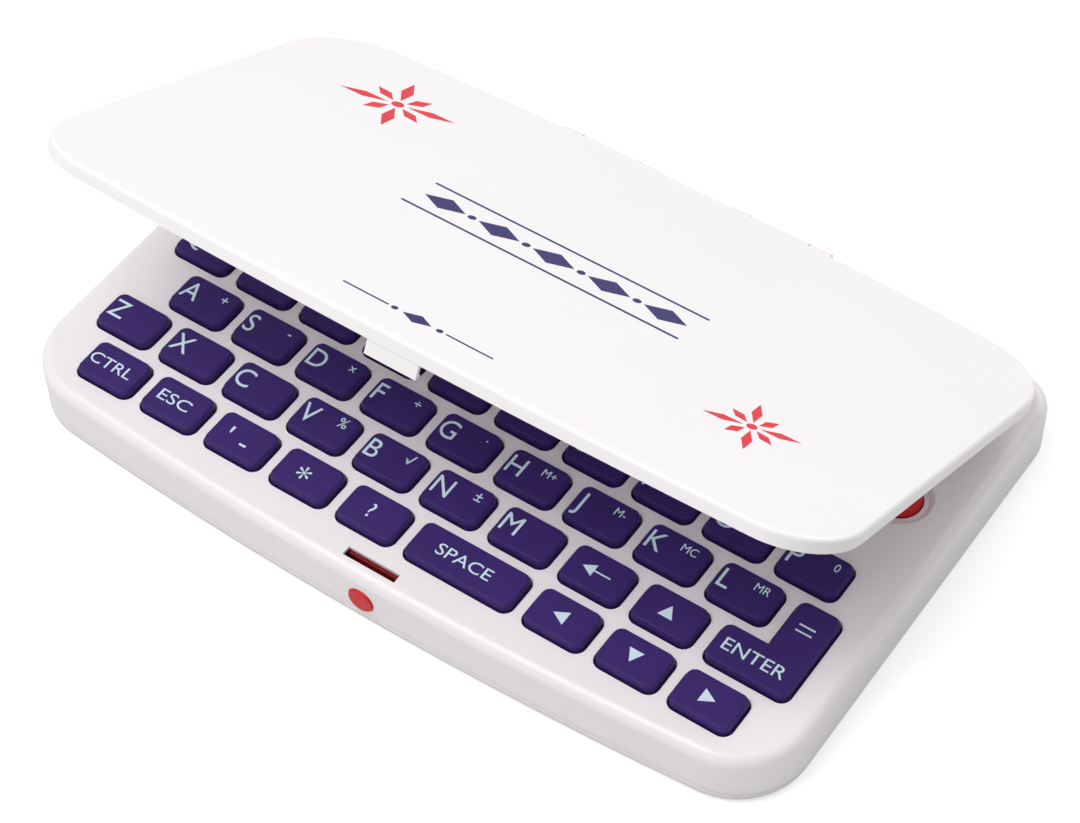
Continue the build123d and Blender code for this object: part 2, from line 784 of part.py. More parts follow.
# ---- lid, drawn in its own plane through the hinge line, which is turned open ----
open_sin = sin(radians(lid_open_angle))
open_cos = cos(radians(lid_open_angle))
lid_plane = Plane(origin=(0, hinge_y, hinge_z), x_dir=(1, 0, 0), z_dir=(0, open_sin, open_cos))
lid_under = lid_gap - hinge_rise
hook_under = hook_z - hinge_z
with BuildPart() as lid_cover:
    with BuildSketch(lid_plane.offset(lid_under)):
        add(lid_outline())
    extrude(amount=lid_t)
    lid_up = Axis((0, 0, 0), lid_plane.z_dir)
    fillet(lid_cover.faces().sort_by(lid_up)[-1].edges(), lid_edge_r)
    with BuildSketch(lid_plane.offset(lid_under)):
        add(lid_outline(lid_rim))
    extrude(amount=lid_hollow, mode=Mode.SUBTRACT)
    # knuckles, each on an arm from the plate
    for side in (-1, 1):
        with BuildSketch(lid_plane.offset(lid_under)):
            with Locations((side * knuckle_x, 0)):
                Rectangle(
                    lid_knuckle,
                    barrel_r + lid_back_gap + lid_back_bow,
                    align=(Align.CENTER, Align.MAX),
                )
        extrude(amount=barrel_r - lid_under)
        with BuildSketch(Plane.YZ.offset(side * knuckle_x)):
            with Locations((hinge_y, hinge_z)):
                Circle(barrel_r)
        extrude(amount=lid_knuckle / 2, both=True)
        with BuildSketch(Plane.YZ.offset(side * knuckle_x)):
            with Locations((hinge_y, hinge_z)):
                Circle(pin_r + pin_fit)
        extrude(amount=lid_knuckle / 2, both=True, mode=Mode.SUBTRACT)
    # latch tab with its hook
    with BuildSketch(lid_plane.offset(hook_under)):
        with Locations((latch_x, tab_y - hinge_y)):
            Rectangle(tab_width, tab_t, align=(Align.CENTER, Align.MIN))
    extrude(amount=lid_under + lid_hollow - hook_under)
    with BuildSketch(lid_plane.offset(hook_under)):
        with Locations((latch_x, tab_y - hinge_y)):
            Rectangle(tab_width, tab_t + hook_reach, align=(Align.CENTER, Align.MIN))
    extrude(amount=hook_t)
lid_cover.part.label = "lid_cover"
export_step(lid_cover.part, "parts/lid_cover.step")
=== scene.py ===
import bpy
import bmesh
from math import radians
from mathutils import Matrix, Vector


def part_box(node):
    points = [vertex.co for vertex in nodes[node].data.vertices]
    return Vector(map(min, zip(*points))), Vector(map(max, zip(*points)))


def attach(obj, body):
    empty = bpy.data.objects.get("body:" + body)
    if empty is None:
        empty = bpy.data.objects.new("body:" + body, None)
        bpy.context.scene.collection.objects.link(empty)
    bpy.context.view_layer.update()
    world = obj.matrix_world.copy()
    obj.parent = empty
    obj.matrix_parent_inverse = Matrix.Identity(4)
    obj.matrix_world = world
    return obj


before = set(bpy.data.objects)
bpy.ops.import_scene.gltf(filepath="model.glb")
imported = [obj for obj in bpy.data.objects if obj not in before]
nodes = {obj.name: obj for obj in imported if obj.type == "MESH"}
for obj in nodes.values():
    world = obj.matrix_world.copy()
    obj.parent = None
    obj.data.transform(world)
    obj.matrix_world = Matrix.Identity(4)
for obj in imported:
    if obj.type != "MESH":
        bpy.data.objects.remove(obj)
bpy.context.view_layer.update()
mm = 0.001


cameraSettings = {
    "place": (156.05, -217.89, 333.65),  # mm
    "aim": (3.91, -4.24, 8.0),
    "roll": -1.14,  # degrees about the line of sight
    "lens": 98.0,
    "sensor": 36.0,
    "clip": (0.01, 20),  # metres
}


def addCamera(settings):
    data = bpy.data.cameras.new("camera")
    data.lens = settings["lens"]
    data.sensor_fit = "HORIZONTAL"
    data.sensor_width = settings["sensor"]
    data.clip_start, data.clip_end = settings["clip"]
    camera = bpy.data.objects.new("camera", data)
    bpy.context.scene.collection.objects.link(camera)
    place = Vector(settings["place"]) * mm
    sight = Vector(settings["aim"]) * mm - place
    roll = Matrix.Rotation(radians(settings["roll"]), 3, "Z")
    turn = sight.to_track_quat("-Z", "Y").to_matrix() @ roll
    camera.matrix_world = Matrix.Translation(place) @ turn.to_4x4()
    bpy.context.scene.camera = camera


addCamera(cameraSettings)
print("camera placed")


def startMaterial(name):
    material = bpy.data.materials.new(name)
    material.use_nodes = True
    tree = material.node_tree
    tree.nodes.clear()
    shader = tree.nodes.new("ShaderNodeBsdfPrincipled")
    output = tree.nodes.new("ShaderNodeOutputMaterial")
    tree.links.new(shader.outputs["BSDF"], output.inputs["Surface"])
    return material, tree, shader


def objectPoint(tree, stretch=(1, 1, 1)):
    coordinates = tree.nodes.new("ShaderNodeTexCoord")
    mapping = tree.nodes.new("ShaderNodeMapping")
    mapping.inputs["Scale"].default_value = stretch
    tree.links.new(coordinates.outputs["Object"], mapping.inputs["Vector"])
    return mapping.outputs["Vector"]


def noise(tree, point, scale, detail=2.0, roughness=0.5):
    texture = tree.nodes.new("ShaderNodeTexNoise")
    texture.inputs["Scale"].default_value = scale  # per metre
    texture.inputs["Detail"].default_value = detail
    texture.inputs["Roughness"].default_value = roughness
    tree.links.new(point, texture.inputs["Vector"])
    return texture.outputs["Fac"]


noiseBand = (0.3, 0.7)  # where most of a noise's values lie


def spread(tree, value, fromLow, fromHigh, toLow, toHigh):
    ranged = tree.nodes.new("ShaderNodeMapRange")
    ranged.inputs["From Min"].default_value = fromLow
    ranged.inputs["From Max"].default_value = fromHigh
    ranged.inputs["To Min"].default_value = toLow
    ranged.inputs["To Max"].default_value = toHigh
    tree.links.new(value, ranged.inputs["Value"])
    return ranged.outputs["Result"]


def blendColours(tree, factor, first, second):
    mix = tree.nodes.new("ShaderNodeMix")
    mix.data_type = "RGBA"
    tree.links.new(factor, mix.inputs["Factor"])
    for socket, colour in ((mix.inputs["A"], first), (mix.inputs["B"], second)):
        if isinstance(colour, tuple):
            socket.default_value = (*colour, 1)
        else:
            tree.links.new(colour, socket)
    return mix.outputs["Result"]


def bump(tree, height, depth, strength=1.0):
    node = tree.nodes.new("ShaderNodeBump")
    node.inputs["Strength"].default_value = strength
    node.inputs["Distance"].default_value = depth  # metres
    tree.links.new(height, node.inputs["Height"])
    return node.outputs["Normal"]


def dress(nodeNames, material):
    for name in nodeNames:
        for place in nodes[name].material_slots:
            place.material = material


casingPlastic = {
    "colour": (0.90, 0.865, 0.875),
    "shade": (0.885, 0.845, 0.86),
    "roughness": (0.30, 0.40),
    "specular": 0.5,
    "grain": 3200,  # per metre
    "grainDepth": 0.000006,
    "flow": 90,
    "coat": 0.05,
}
lidPlastic = {
    "colour": (0.945, 0.915, 0.925),
    "shade": (0.93, 0.90, 0.915),
    "roughness": (0.30, 0.33),
    "specular": 0.5,
    "grain": 0,  # polished
    "flow": 60,
    "coat": 0.0,
}
keyPlastic = {
    "colour": (0.036, 0.011, 0.145),
    "shade": (0.031, 0.0095, 0.128),
    "roughness": (0.5, 0.6),
    "specular": 0.3,
    "grain": 5200,
    "grainDepth": 0.000008,
    "flow": 400,
    "coat": 0.0,
}
buttonPlastic = {
    "colour": (0.68, 0.012, 0.022),
    "shade": (0.60, 0.010, 0.018),
    "roughness": (0.42, 0.5),
    "specular": 0.3,
    "grain": 4000,
    "grainDepth": 0.000004,
    "flow": 300,
    "coat": 0.1,
}
mouldedShared = {
    "clouds": 0.4,  # of the flow's scale
    "rubs": 2,
    "grainStrength": 0.6,
    "ior": 1.5,
    "coatRoughness": 0.15,
}


def mouldedPlastic(name, settings):
    material, tree, shader = startMaterial(name)
    point = objectPoint(tree)
    cloud = noise(tree, point, settings["flow"] * mouldedShared["clouds"], 3)
    tint = blendColours(tree, spread(tree, cloud, *noiseBand, 0, 1), settings["colour"], settings["shade"])
    tree.links.new(tint, shader.inputs["Base Color"])
    rubbed = noise(tree, point, settings["flow"] * mouldedShared["rubs"], 4, 0.6)
    tree.links.new(spread(tree, rubbed, *noiseBand, *settings["roughness"]), shader.inputs["Roughness"])
    if settings["grain"]:
        grain = noise(tree, point, settings["grain"], 1)
        grainBump = bump(tree, grain, settings["grainDepth"], mouldedShared["grainStrength"])
        tree.links.new(grainBump, shader.inputs["Normal"])
    shader.inputs["IOR"].default_value = mouldedShared["ior"]
    shader.inputs["Specular IOR Level"].default_value = settings["specular"]
    shader.inputs["Coat Weight"].default_value = settings["coat"]
    shader.inputs["Coat Roughness"].default_value = mouldedShared["coatRoughness"]
    return material


casingWhite = mouldedPlastic("casing_white", casingPlastic)
lidWhite = mouldedPlastic("lid_white", lidPlastic)
keyIndigo = mouldedPlastic("key_indigo", keyPlastic)
buttonRed = mouldedPlastic("button_red", buttonPlastic)
latchRed = mouldedPlastic("latch_red", buttonPlastic)
# painted shade of the slot on the catch: its red turns to the darker colour between these heights
catchShadeSettings = {"from": 0.0066, "to": 0.0072, "colour": (0.20, 0.004, 0.008)}  # heights in metres


def darkenCatch(material, settings):
    # painted shade: the catch, above the button, is painted a duller and darker red for the shade down in
    # the slot
    tree = material.node_tree
    shader = tree.nodes["Principled BSDF"]
    tint = shader.inputs["Base Color"].links[0].from_socket
    parts = tree.nodes.new("ShaderNodeSeparateXYZ")
    tree.links.new(objectPoint(tree), parts.inputs["Vector"])
    height = spread(tree, parts.outputs["Z"], settings["from"], settings["to"], 0, 1)
    tree.links.new(blendColours(tree, height, tint, settings["colour"]), shader.inputs["Base Color"])


darkenCatch(latchRed, catchShadeSettings)

keyNames = [name for name in nodes if name.startswith("key_")]
dress(["top_casing", "bottom_casing", "battery_door"], casingWhite)
dress(["lid_cover"], lidWhite)
dress(keyNames, keyIndigo)
dress(["latch_button"], latchRed)
dress(["on_button"], buttonRed)
print("plastics:", len(keyNames), "keys")


metalFinishes = {
    "screw_steel": {"colour": (0.55, 0.55, 0.57), "roughness": (0.28, 0.45), "stretch": (1, 1, 8)},
    "cell_steel": {"colour": (0.68, 0.68, 0.69), "roughness": (0.2, 0.32), "stretch": (8, 1, 1)},
    "contact_brass": {"colour": (0.72, 0.52, 0.22), "roughness": (0.25, 0.4), "stretch": (1, 8, 1)},
}
metalShared = {
    "lines": 1800,  # per metre
    "lineDepth": 0.000006,
    "stains": 260,
    "stainBand": (0.35, 0.7),
    "stainShade": 0.8,
}


def brushedMetal(name, settings):
    material, tree, shader = startMaterial(name)
    point = objectPoint(tree, settings["stretch"])
    lines = noise(tree, point, metalShared["lines"], 3)
    stain = spread(tree, noise(tree, point, metalShared["stains"], 2), *metalShared["stainBand"], 0, 1)
    dull = tuple(metalShared["stainShade"] * part for part in settings["colour"])
    tree.links.new(blendColours(tree, stain, settings["colour"], dull), shader.inputs["Base Color"])
    tree.links.new(spread(tree, lines, *noiseBand, *settings["roughness"]), shader.inputs["Roughness"])
    tree.links.new(bump(tree, lines, metalShared["lineDepth"], 0.5), shader.inputs["Normal"])
    shader.inputs["Metallic"].default_value = 1
    return material


rubberFinishes = {
    "rubber_dark": {"colour": (0.02, 0.02, 0.022), "shade": (0.035, 0.035, 0.038)},
    "rubber_grey": {"colour": (0.26, 0.26, 0.28), "shade": (0.33, 0.33, 0.35)},
}
rubberShared = {
    "dust": 700,  # per metre
    "dustBand": (0.45, 0.75),
    "roughness": (0.6, 0.8),
    "grain": 3500,
    "grainDepth": 0.00002,
}


def softRubber(name, settings):
    material, tree, shader = startMaterial(name)
    point = objectPoint(tree)
    dust = noise(tree, point, rubberShared["dust"], 4, 0.65)
    dusty = spread(tree, dust, *rubberShared["dustBand"], 0, 1)
    tint = blendColours(tree, dusty, settings["colour"], settings["shade"])
    tree.links.new(tint, shader.inputs["Base Color"])
    tree.links.new(spread(tree, dust, *noiseBand, *rubberShared["roughness"]), shader.inputs["Roughness"])
    grain = noise(tree, point, rubberShared["grain"], 2)
    tree.links.new(bump(tree, grain, rubberShared["grainDepth"], 0.6), shader.inputs["Normal"])
    return material


boardFinish = {
    "mask": (0.02, 0.13, 0.05),
    "track": (0.05, 0.24, 0.10),
    "trackPitch": 620,  # tracks per metre
    "trackBend": 3,
    "trackEdge": (0.6, 0.7),
    "trackDepth": 0.00003,
    "patches": 900,
    "roughness": (0.25, 0.4),
}


def circuitBoard(name, settings):
    material, tree, shader = startMaterial(name)
    point = objectPoint(tree)
    tracks = tree.nodes.new("ShaderNodeTexWave")
    tracks.wave_type = "BANDS"
    tracks.bands_direction = "DIAGONAL"
    tracks.inputs["Scale"].default_value = settings["trackPitch"]
    tracks.inputs["Distortion"].default_value = settings["trackBend"]
    tracks.inputs["Detail"].default_value = 0
    tree.links.new(point, tracks.inputs["Vector"])
    raised = spread(tree, tracks.outputs["Fac"], *settings["trackEdge"], 0, 1)
    tint = blendColours(tree, raised, settings["mask"], settings["track"])
    tree.links.new(tint, shader.inputs["Base Color"])
    patches = noise(tree, point, settings["patches"])
    tree.links.new(spread(tree, patches, *noiseBand, *settings["roughness"]), shader.inputs["Roughness"])
    tree.links.new(bump(tree, raised, settings["trackDepth"], 0.5), shader.inputs["Normal"])
    return material


chipFinish = {
    "colour": (0.012, 0.012, 0.013),
    "shade": (0.03, 0.03, 0.03),
    "lumps": 500,  # per metre
    "lumpDepth": 0.0001,
    "roughness": (0.25, 0.5),
}


def epoxyBlob(name, settings):
    material, tree, shader = startMaterial(name)
    point = objectPoint(tree)
    lumps = noise(tree, point, settings["lumps"], 3)
    tint = blendColours(tree, lumps, settings["colour"], settings["shade"])
    tree.links.new(tint, shader.inputs["Base Color"])
    tree.links.new(spread(tree, lumps, *noiseBand, *settings["roughness"]), shader.inputs["Roughness"])
    tree.links.new(bump(tree, lumps, settings["lumpDepth"], 0.6), shader.inputs["Normal"])
    return material


displayFinish = {
    "glass": (0.36, 0.40, 0.31),
    "dot": (0.31, 0.35, 0.27),
    "dotPitch": 0.0007,  # metres
    "dotGap": 0.08,  # of the pitch
    "clouds": 40,  # per metre
    "haze": 0.5,
    "roughness": (0.18, 0.26),
}


def displayGlass(name, settings):
    material, tree, shader = startMaterial(name)
    point = objectPoint(tree)
    dots = tree.nodes.new("ShaderNodeTexBrick")
    dots.offset = 0
    dots.inputs["Scale"].default_value = 1
    dots.inputs["Brick Width"].default_value = settings["dotPitch"]
    dots.inputs["Row Height"].default_value = settings["dotPitch"]
    dots.inputs["Mortar Size"].default_value = settings["dotPitch"] * settings["dotGap"]
    dots.inputs["Color1"].default_value = (*settings["dot"], 1)
    dots.inputs["Color2"].default_value = (*settings["dot"], 1)
    dots.inputs["Mortar"].default_value = (*settings["glass"], 1)
    tree.links.new(point, dots.inputs["Vector"])
    cloud = noise(tree, point, settings["clouds"], 2)
    haze = spread(tree, cloud, *noiseBand, 0, settings["haze"])
    tint = blendColours(tree, haze, dots.outputs["Color"], settings["glass"])
    tree.links.new(tint, shader.inputs["Base Color"])
    tree.links.new(spread(tree, cloud, *noiseBand, *settings["roughness"]), shader.inputs["Roughness"])
    return material


paneFinish = {
    "colour": (0.97, 0.98, 0.98),
    "roughness": (0.01, 0.05),
    "smears": 70,  # per metre
    "smearBand": (0.4, 0.7),
    "ripples": 45,
    "rippleDepth": 0.00001,
    "ior": 1.49,
}


def clearPane(name, settings):
    material, tree, shader = startMaterial(name)
    point = objectPoint(tree)
    smears = noise(tree, point, settings["smears"], 3, 0.6)
    smeared = spread(tree, smears, *settings["smearBand"], *settings["roughness"])
    tree.links.new(smeared, shader.inputs["Roughness"])
    ripples = noise(tree, point, settings["ripples"])
    tree.links.new(bump(tree, ripples, settings["rippleDepth"], 0.3), shader.inputs["Normal"])
    shader.inputs["Base Color"].default_value = (*settings["colour"], 1)
    shader.inputs["Transmission Weight"].default_value = 1
    shader.inputs["IOR"].default_value = settings["ior"]
    return material


screwSteel = brushedMetal("screw_steel", metalFinishes["screw_steel"])
cellSteel = brushedMetal("cell_steel", metalFinishes["cell_steel"])
contactBrass = brushedMetal("contact_brass", metalFinishes["contact_brass"])
rubberDark = softRubber("rubber_dark", rubberFinishes["rubber_dark"])
rubberGrey = softRubber("rubber_grey", rubberFinishes["rubber_grey"])

dress(["casing_screws", "battery_door_screw", "hinge_pins", "latch_spring"], screwSteel)
dress(["batteries"], cellSteel)
dress(["battery_contacts"], contactBrass)
dress(["rubber_feet"], rubberDark)
dress(["keypad_mat", "lcd_connector"], rubberGrey)
dress(["circuit_board"], circuitBoard("board_green", boardFinish))
dress(["controller_chip"], epoxyBlob("chip_black", chipFinish))
dress(["lcd_panel"], displayGlass("lcd_glass", displayFinish))
dress(["display_window"], clearPane("window_clear", paneFinish))
print("metals, rubber, board and display dressed")

inkFinish = {
    "speckles": 2600,  # per metre
    "speckleDepth": 0.000004,
    "wornBand": (0.5, 0.8),
    "roughness": (0.35, 0.47),
}


def printedInk(name, colour, worn, settings):
    material, tree, shader = startMaterial(name)
    point = objectPoint(tree)
    speckle = noise(tree, point, settings["speckles"], 3, 0.7)
    tint = blendColours(tree, spread(tree, speckle, *settings["wornBand"], 0, 1), colour, worn)
    tree.links.new(tint, shader.inputs["Base Color"])
    tree.links.new(spread(tree, speckle, *noiseBand, *settings["roughness"]), shader.inputs["Roughness"])
    tree.links.new(bump(tree, speckle, settings["speckleDepth"], 0.5), shader.inputs["Normal"])
    return material


inks = {  # the colour and the worn colour
    "legend_ink": ((0.64, 0.79, 0.88), (0.54, 0.67, 0.79)),
    "indigo_ink": ((0.024, 0.014, 0.14), (0.034, 0.02, 0.17)),
    "red_ink": ((0.78, 0.025, 0.045), (0.72, 0.04, 0.06)),
    "border_ink": ((0.05, 0.05, 0.06), (0.07, 0.07, 0.08)),
}
printed = {name: printedInk(name, *pair, inkFinish) for name, pair in inks.items()}
legendInk, indigoInk, redInk, borderInk = printed.values()


# Flat prints are built in millimetres on the plane z = 0.

def addCopy(bm, build, place=(0, 0), size=(1, 1), turn=0.0):
    # one flat shape, scaled, turned and put in its place
    before = set(bm.verts)
    build(bm)
    fresh = [v for v in bm.verts if v not in before]
    spin = Matrix.Rotation(radians(turn), 4, "Z")
    move = Matrix.Translation((*place, 0)) @ spin @ Matrix.Diagonal((*size, 1, 1))
    bmesh.ops.transform(bm, matrix=move, verts=fresh)


def disc(bm):
    bmesh.ops.create_circle(bm, cap_ends=True, segments=48, radius=0.5)


def square(bm):
    bmesh.ops.create_grid(bm, x_segments=1, y_segments=1, size=0.5)


def lozenge(bm):
    bmesh.ops.create_circle(bm, cap_ends=True, segments=4, radius=0.5)


def arrowHead(bm):
    # points along +X, one unit long and one high, centred
    tip = bmesh.ops.create_circle(bm, cap_ends=True, segments=3, radius=2 / 3)["verts"]
    bmesh.ops.rotate(bm, verts=tip, cent=(0, 0, 0), matrix=Matrix.Rotation(radians(-90), 3, "Z"))
    bmesh.ops.scale(bm, verts=tip, vec=(1, 1 / 1.1547, 1))  # its side is 1.1547 long
    bmesh.ops.translate(bm, verts=tip, vec=(-1 / 6, 0, 0))


def textMesh(body):
    curve = bpy.data.curves.new("word", "FONT")
    curve.body = body
    curve.resolution_u = 6
    holder = bpy.data.objects.new("word", curve)
    bpy.context.scene.collection.objects.link(holder)
    mesh = bpy.data.meshes.new_from_object(holder.evaluated_get(bpy.context.evaluated_depsgraph_get()))
    bpy.data.objects.remove(holder)
    return mesh


def extent(mesh):
    xs = [v.co.x for v in mesh.vertices]
    ys = [v.co.y for v in mesh.vertices]
    return min(xs), max(xs), min(ys), max(ys)


capHeight = extent(textMesh("H"))[3]


def letters(body, squeeze=1.0):
    # text as a mesh, one unit of capital height, standing on the origin
    mesh = textMesh(body)
    low = extent(mesh)[0]
    for v in mesh.vertices:
        v.co = ((v.co.x - low) / capHeight * squeeze, v.co.y / capHeight, 0)
    return mesh


def addWord(bm, mesh, height, weight=0.0, left=None, middle=None, right=None, base=None, centre=None):
    # puts a word in by its left, middle or right, and by its base line or its centre;
    # its strokes grow outwards by the weight
    low, high, bottom, top = (height * value for value in extent(mesh))
    if left is not None:
        x = left - low
    elif right is not None:
        x = right - high
    else:
        x = middle - (low + high) / 2
    y = base if base is not None else centre - (bottom + top) / 2
    before = set(bm.verts)
    bm.from_mesh(mesh)
    fresh = [v for v in bm.verts if v not in before]
    move = Matrix.Translation((x, y, 0)) @ Matrix.Diagonal((height, height, 1, 1))
    bmesh.ops.transform(bm, matrix=move, verts=fresh)
    if weight:
        faces = [f for f in bm.faces if f.verts[0] not in before]
        bmesh.ops.inset_region(bm, faces=faces, thickness=weight, use_outset=True, use_boundary=True)


inkFilm = {"thickness": 0.03, "sunk": 0.01, "weld": 0.001}  # mm


def finishPrint(name, bm, toPlace, material, body):
    # gives the flat shapes the film's thickness and sets them on their surface
    bmesh.ops.remove_doubles(bm, verts=bm.verts, dist=inkFilm["weld"])
    bmesh.ops.recalc_face_normals(bm, faces=bm.faces)
    bmesh.ops.reverse_faces(bm, faces=[f for f in bm.faces if f.normal.z < 0])
    bmesh.ops.translate(bm, verts=bm.verts, vec=(0, 0, -inkFilm["sunk"]))
    raised = bmesh.ops.extrude_face_region(bm, geom=bm.faces[:])["geom"]
    raisedVerts = [v for v in raised if isinstance(v, bmesh.types.BMVert)]
    bmesh.ops.translate(bm, verts=raisedVerts, vec=(0, 0, inkFilm["thickness"]))
    bmesh.ops.recalc_face_normals(bm, faces=bm.faces)
    bmesh.ops.transform(bm, matrix=toPlace @ Matrix.Diagonal((mm, mm, mm, 1)), verts=bm.verts)
    mesh = bpy.data.meshes.new(name)
    bm.to_mesh(mesh)
    bm.free()
    piece = bpy.data.objects.new(name, mesh)
    bpy.context.scene.collection.objects.link(piece)
    mesh.materials.append(material)
    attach(piece, body)


legendSettings = {  # mm, from the key's middle
    "letterHeight": 3.15,
    "letterLeft": -4.1,
    "letterBase": -1.31,
    "letterWeight": 0.055,
    "signHeight": 1.32,
    "signRight": 3.05,
    "signCentre": 1.4,
    "signWeight": 0.03,
    "markScale": 1.3,  # of the sign's height
    "wordHeight": 1.88,
    "wordWeight": 0.075,
    "wordShift": -0.45,
    "squeeze": 0.92,  # of a letter's own width
}
signs = {
    "a": "+", "s": "-", "d": "×", "f": "÷", "g": "·", "h": "M+", "j": "M-", "k": "MC", "l": "MR",
    "v": "%", "b": "√", "n": "±", "p": "0",
}
signs.update({letter: str(number) for number, letter in enumerate("qwertyuio", 1)})
words = {  # with their width in mm
    "ctrl": ("CTRL", 7.3),
    "esc": ("ESC", 5.4),
    "space": ("SPACE", 8.9),
    "enter": ("ENTER", 9.5),
}


def keyMiddle(name):
    low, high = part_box("key_" + name)
    return (low.x + high.x) / 2, (low.y + high.y) / 2, high.z


def keyPlace(name):
    x, y, top = keyMiddle(name)
    return Matrix.Translation((x, y, top))


def putLegend(name, bm, place=None):
    finishPrint("legend_" + name, bm, place or keyPlace(name), legendInk, name + "_key")


def letterLegend(letter, settings):
    bm = bmesh.new()
    mesh = letters(letter.upper(), settings["squeeze"])
    addWord(bm, mesh, settings["letterHeight"], settings["letterWeight"],
            left=settings["letterLeft"], base=settings["letterBase"])
    if letter in signs:
        mesh = letters(signs[letter], settings["squeeze"])
        scale = 1 if signs[letter][0].isalnum() else settings["markScale"]
        addWord(bm, mesh, scale * settings["signHeight"], settings["signWeight"],
                right=settings["signRight"], centre=settings["signCentre"])
    putLegend(letter, bm)


for letter in "qwertyuiopasdfghjklzxcvbnm":
    letterLegend(letter, legendSettings)


def wordLegend(name, settings):
    body, width = words[name]
    mesh = letters(body)
    low, high = extent(mesh)[:2]
    stretch = width / settings["wordHeight"] / (high - low)
    mesh.transform(Matrix.Diagonal((stretch, 1, 1, 1)))
    bm = bmesh.new()
    addWord(bm, mesh, settings["wordHeight"], settings["wordWeight"],
            middle=settings["wordShift"], centre=0)
    return bm


for name in ("ctrl", "esc", "space"):
    putLegend(name, wordLegend(name, legendSettings))

enterSettings = {
    "wordHeight": 2.0,
    "wordShift": -0.25,
    "equals": (-4.1, -1.07),  # from the key's right and the middle of its row
    "equalsSize": (2.5, 0.26),
    "equalsGap": 1.07,
}
enterLow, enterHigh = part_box("key_enter")
rowLine = keyMiddle("up")[1]
nextRowLine = keyMiddle("l")[1]
enterPlace = Matrix.Translation(((enterLow.x + enterHigh.x) / 2, rowLine, enterHigh.z))
enterLegend = wordLegend("enter", {**legendSettings, **enterSettings})
equalsX = (enterHigh.x - enterLow.x) / 2 / mm + enterSettings["equals"][0]
equalsY = (nextRowLine - rowLine) / mm + enterSettings["equals"][1]
for side in (-1, 1):
    addCopy(enterLegend, square, (equalsX, equalsY + side * enterSettings["equalsGap"] / 2),
            enterSettings["equalsSize"])
putLegend("enter", enterLegend, enterPlace)

arrowSize = (2.1, 2.3)  # mm
arrowSettings = {
    "up": {"turn": 90, "shift": -0.22},
    "down": {"turn": -90, "shift": -0.33},
    "left": {"turn": 180, "shift": -0.44},
    "right": {"turn": 0, "shift": -0.1},
}
for name, settings in arrowSettings.items():
    bm = bmesh.new()
    addCopy(bm, arrowHead, (settings["shift"], 0), arrowSize, settings["turn"])
    putLegend(name, bm)

backspaceSettings = {"tip": -2.45, "head": (1.86, 2.07), "tail": (2.6, 0.22)}
bm = bmesh.new()
headLength = backspaceSettings["head"][0]
tailLength = backspaceSettings["tail"][0]
headMiddle = backspaceSettings["tip"] + headLength / 2
tailMiddle = backspaceSettings["tip"] + headLength + tailLength / 2
addCopy(bm, arrowHead, (headMiddle, 0), backspaceSettings["head"], 180)
addCopy(bm, square, (tailMiddle, 0), backspaceSettings["tail"])
putLegend("backspace", bm)

markSettings = {
    "star": {"body": "*", "squeeze": 1.0, "height": 3.5, "weight": 0.06, "middle": (-0.52, -0.06)},
    "question": {"body": "?", "squeeze": 0.95, "height": 2.4, "weight": 0.1, "middle": (-0.47, -0.04)},
    "dash": {"body": "'", "squeeze": 1.0, "height": 3.2, "weight": 0.08, "middle": (-1.97, 0.44)},
}
dashSettings = {"middle": (0.93, -1.04), "size": (1.1, 0.38)}
for name, settings in markSettings.items():
    bm = bmesh.new()
    x, y = settings["middle"]
    mesh = letters(settings["body"], settings["squeeze"])
    addWord(bm, mesh, settings["height"], settings["weight"], middle=x, centre=y)
    if name == "dash":
        addCopy(bm, square, dashSettings["middle"], dashSettings["size"])
    putLegend(name, bm)
print("key legends printed")


lidSettings = {
    "hinge": (42.2, 9.4),  # y and z, mm
    "open": 26.4,  # degrees
    "face": 2.2,  # height of the lid's outer face over the hinge line
}


def lidPlace(settings):
    y, z = settings["hinge"]
    return (
        Matrix.Translation((0, y * mm, z * mm))
        @ Matrix.Rotation(radians(-settings["open"]), 4, "X")
        @ Matrix.Translation((0, -y * mm, settings["face"] * mm))
    )


# plain ornaments in indigo and red, in mm on the closed lid
bandSettings = {
    "middle": (0.7, -1.3),
    "length": 46.0,
    "height": 9.0,
    "rule": 0.5,
    "count": 5,
    "lozenge": (7.0, 4.2),
    "disc": (1.3, 1.3),
}


def ornamentBand(settings):
    bm = bmesh.new()
    x, y = settings["middle"]
    for side in (-1, 1):
        spot = (x, y + side * settings["height"] / 2)
        addCopy(bm, square, spot, (settings["length"], settings["rule"]))
    step = settings["length"] / settings["count"]
    for number in range(settings["count"]):
        spot = x + (number - (settings["count"] - 1) / 2) * step
        addCopy(bm, lozenge, (spot, y), settings["lozenge"])
        if number:
            addCopy(bm, disc, (spot - step / 2, y), settings["disc"])
    return bm


def putOnLid(name, bm, ink):
    finishPrint(name, bm, lidPlace(lidSettings), ink, "lid")


putOnLid("lid_band", ornamentBand(bandSettings), indigoInk)

smallBandSettings = {
    "middle": (-0.6, -33.8),
    "reach": 12.0,
    "rule": 0.35,
    "lozenge": (4.6, 2.6),
    "step": 3.6,
    "disc": 1.0,
}


def smallBand(settings):
    bm = bmesh.new()
    x, y = settings["middle"]
    addCopy(bm, lozenge, (x, y), settings["lozenge"])
    for side in (-1, 1):
        addCopy(bm, disc, (x + side * settings["step"], y), (settings["disc"], settings["disc"]))
        start = settings["step"] + settings["disc"]
        spot = x + side * (start + settings["reach"]) / 2
        addCopy(bm, square, (spot, y), (settings["reach"] - start, settings["rule"]))
    return bm


putOnLid("lid_small_band", smallBand(smallBandSettings), indigoInk)

starShared = {"rays": 8, "turn": 18, "start": 0.75}  # the rays start that share of the disc from the middle
starSettings = {
    "lid_star_left": {"middle": (-41.0, 20.6), "long": 7.6, "short": 4.6, "wide": 2.0, "disc": 2.0},
    "lid_star_right": {"middle": (42.0, -18.2), "long": 5.6, "short": 3.4, "wide": 1.5, "disc": 1.5},
}


